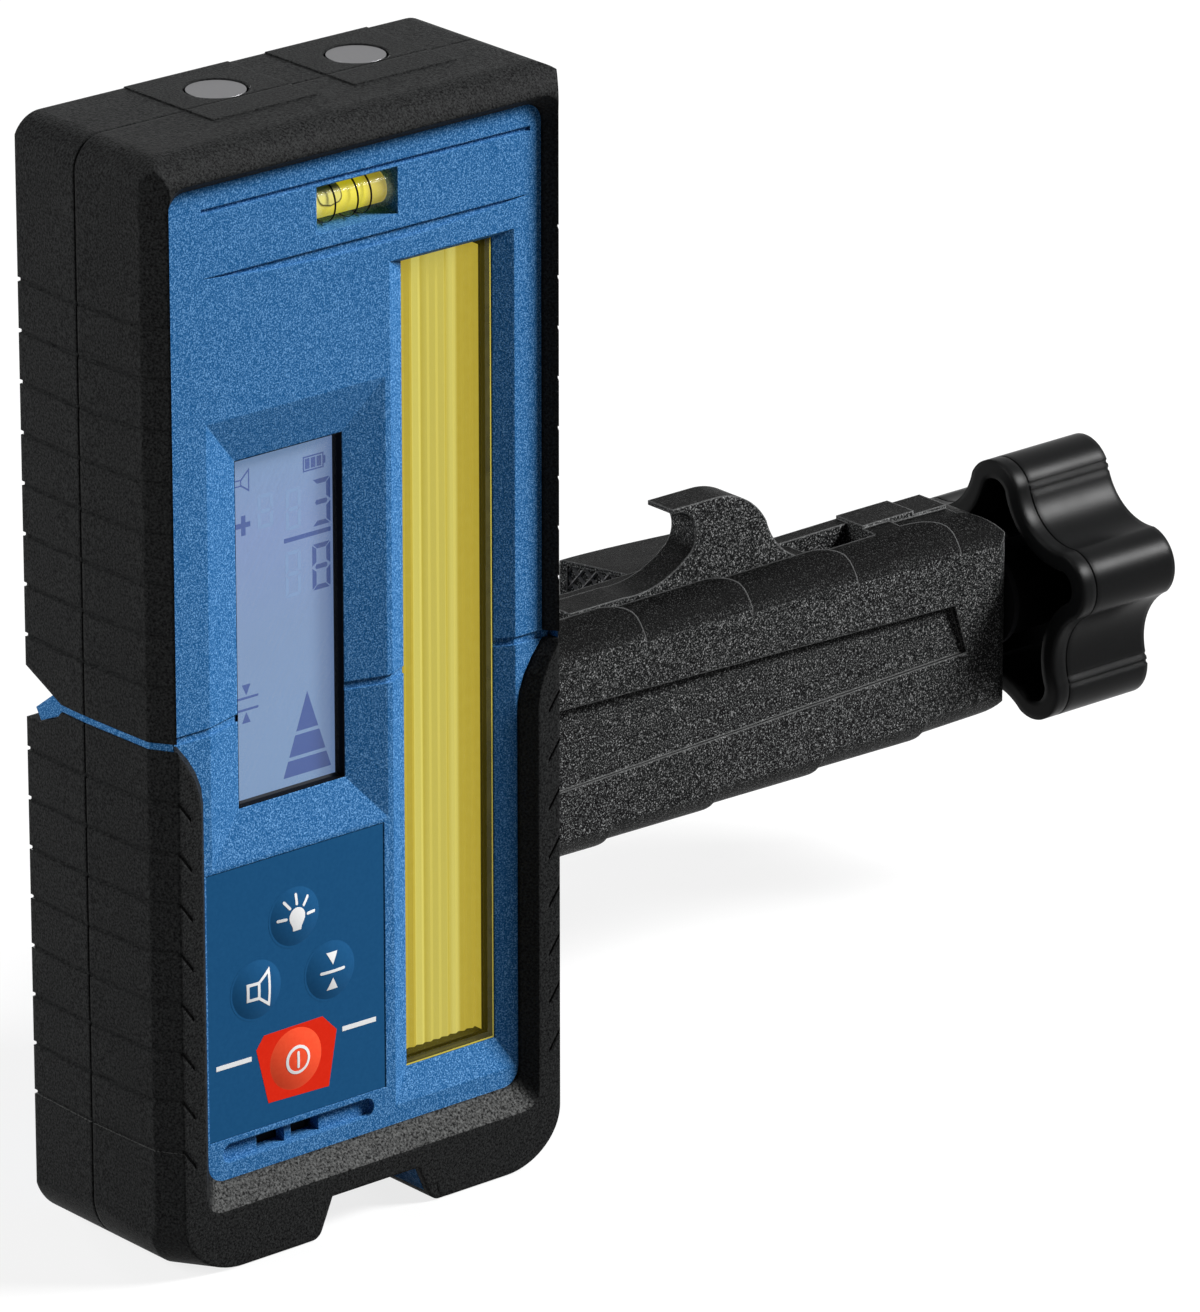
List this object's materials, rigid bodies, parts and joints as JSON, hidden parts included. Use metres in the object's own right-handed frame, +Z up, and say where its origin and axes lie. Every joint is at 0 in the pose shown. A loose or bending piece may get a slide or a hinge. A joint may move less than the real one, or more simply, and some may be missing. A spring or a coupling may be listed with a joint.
{
  "type": "laser receiver",
  "caption": "Hand-held laser receiver with a side display, long detector window, keypad and top level, on a screw-driven staff clamp.",
  "frame": {"origin": "on the plane of the feet, in the middle of the notch between them, halfway through the receiver's depth", "axes": "+X right as the display is read, along the clamp bar; +Y back, away from the display; +Z up towards the level"},
  "size_m": [0.2235, 0.0663, 0.175],
  "materials": {
    "blue_plastic": "finely grained moulding",
    "rubber": "matte, finely grained",
    "keypad": "smooth printed membrane",
    "red_key": "smooth",
    "clear_pane": "clear",
    "lcd_glass": "satin polariser",
    "white_plastic": "satin",
    "yellow_window": "clear yellow",
    "yellow_spirit": "clear liquid",
    "circuit_board": "solder mask",
    "black_plastic": "grained moulding",
    "steel": "plain",
    "cell_jacket": "printed jacket, left plain",
    "brass": "turned"
  },
  "bodies": {
    "receiver": {"front_housing": "blue_plastic", "rear_housing": "blue_plastic", "front_cover_upper": "rubber", "front_cover_lower": "rubber", "rear_cover_upper": "rubber", "rear_cover_lower": "rubber", "display_window": "clear_pane", "display_module": "lcd_glass", "backlight": "white_plastic", "detector_window": "yellow_window", "detector_lens": "yellow_window", "detector_board": "circuit_board", "photodiodes": "black_plastic", "level_vial": "clear_pane", "vial_spirit": "yellow_spirit", "keypad_overlay": "keypad", "key_switches": "black_plastic", "main_board": "circuit_board", "board_screws": "steel", "buzzer": "black_plastic", "magnets": "steel", "housing_seal": "rubber", "housing_screws": "steel", "batteries": "cell_jacket", "battery_contacts": "steel", "door_seal": "rubber", "hinge_pin": "steel", "thread_insert": "brass", "clamp_bar": "black_plastic", "fixed_jaw": "black_plastic", "jaw_screws": "steel", "thrust_washer": "steel"},
    "light_key": {"light_key": "keypad"},
    "volume_key": {"volume_key": "keypad"},
    "precision_key": {"precision_key": "keypad"},
    "power_key": {"power_key": "red_key"},
    "door": {"battery_door": "blue_plastic"},
    "jaw": {"movable_jaw": "black_plastic"},
    "knob": {"clamp_knob": "black_plastic", "lead_screw": "steel"},
    "mount_screw": {"mounting_screw": "black_plastic"}
  },
  "joints": [
    {"name": "light_key_press", "type": "slide", "parent": "receiver", "child": "light_key", "axis": [0, 1, 0], "range_m": [0, 0.0005], "stiffness_N_per_m": 1200},
    {"name": "volume_key_press", "type": "slide", "parent": "receiver", "child": "volume_key", "axis": [0, 1, 0], "range_m": [0, 0.0005], "stiffness_N_per_m": 1200},
    {"name": "precision_key_press", "type": "slide", "parent": "receiver", "child": "precision_key", "axis": [0, 1, 0], "range_m": [0, 0.0005], "stiffness_N_per_m": 1200},
    {"name": "power_key_press", "type": "slide", "parent": "receiver", "child": "power_key", "axis": [0, 1, 0], "range_m": [0, 0.0005], "stiffness_N_per_m": 1200},
    {"name": "door_hinge", "type": "hinge", "parent": "receiver", "child": "door", "pos_m": [0, 0.0124, 0.0924], "axis": [-1, 0, 0], "range_deg": [0, 110]},
    {"name": "jaw_slide", "type": "slide", "parent": "receiver", "child": "jaw", "axis": [1, 0, 0], "range_m": [-0.042, 0.0125]},
    {"name": "knob_turn", "type": "hinge", "parent": "receiver", "child": "knob", "pos_m": [0.1, 0.0255, 0.05], "axis": [1, 0, 0], "range_deg": [-3781, 1126]},
    {"name": "mount_screw_turn", "type": "hinge", "parent": "receiver", "child": "mount_screw", "pos_m": [0, 0.03, 0.05], "axis": [0, 1, 0], "continuous": true}
  ],
  "couplings": [
    {"joint": "knob_turn", "follows": "jaw_slide", "rad_per_m": 1570.8}
  ]
}
